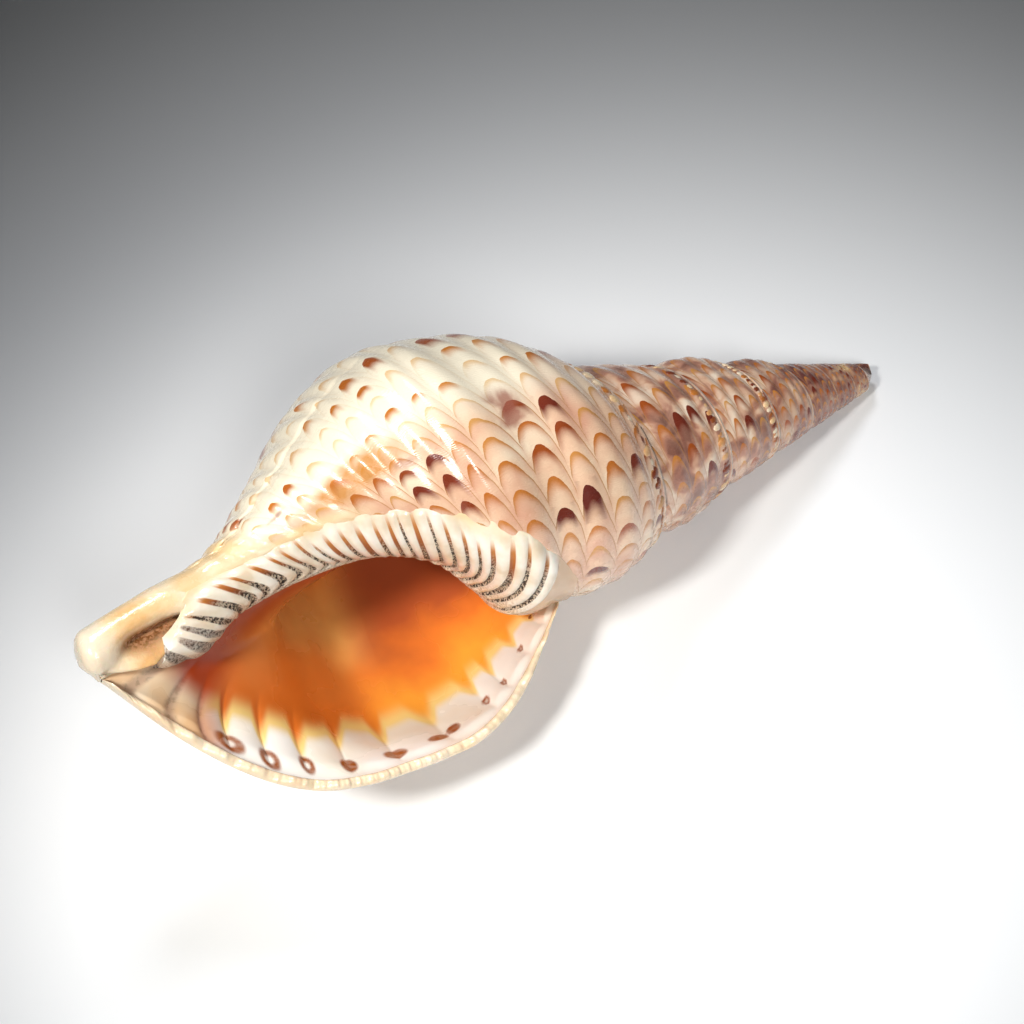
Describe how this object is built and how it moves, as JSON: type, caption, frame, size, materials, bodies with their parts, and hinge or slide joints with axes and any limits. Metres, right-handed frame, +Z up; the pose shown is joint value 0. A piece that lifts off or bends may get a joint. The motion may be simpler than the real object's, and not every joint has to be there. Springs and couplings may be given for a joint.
{
  "type": "triton trumpet shell",
  "caption": "Large spiral sea shell lying on its side: tall pointed spire, swollen last whorl, and a wide flared mouth with a ridged inner lip and a short snout.",
  "frame": {"origin": "centre of the bounding box at the level of the ground the shell lies on", "axes": "+Z up; +X runs level towards the spire's tip, so the snout is at -X and raised; the mouth opens upwards and towards -Y"},
  "size_m": [0.3332, 0.14, 0.119],
  "materials": {
    "shell": "glossy"
  },
  "bodies": {
    "root": {"triton_shell": "shell"}
  },
  "joints": []
}
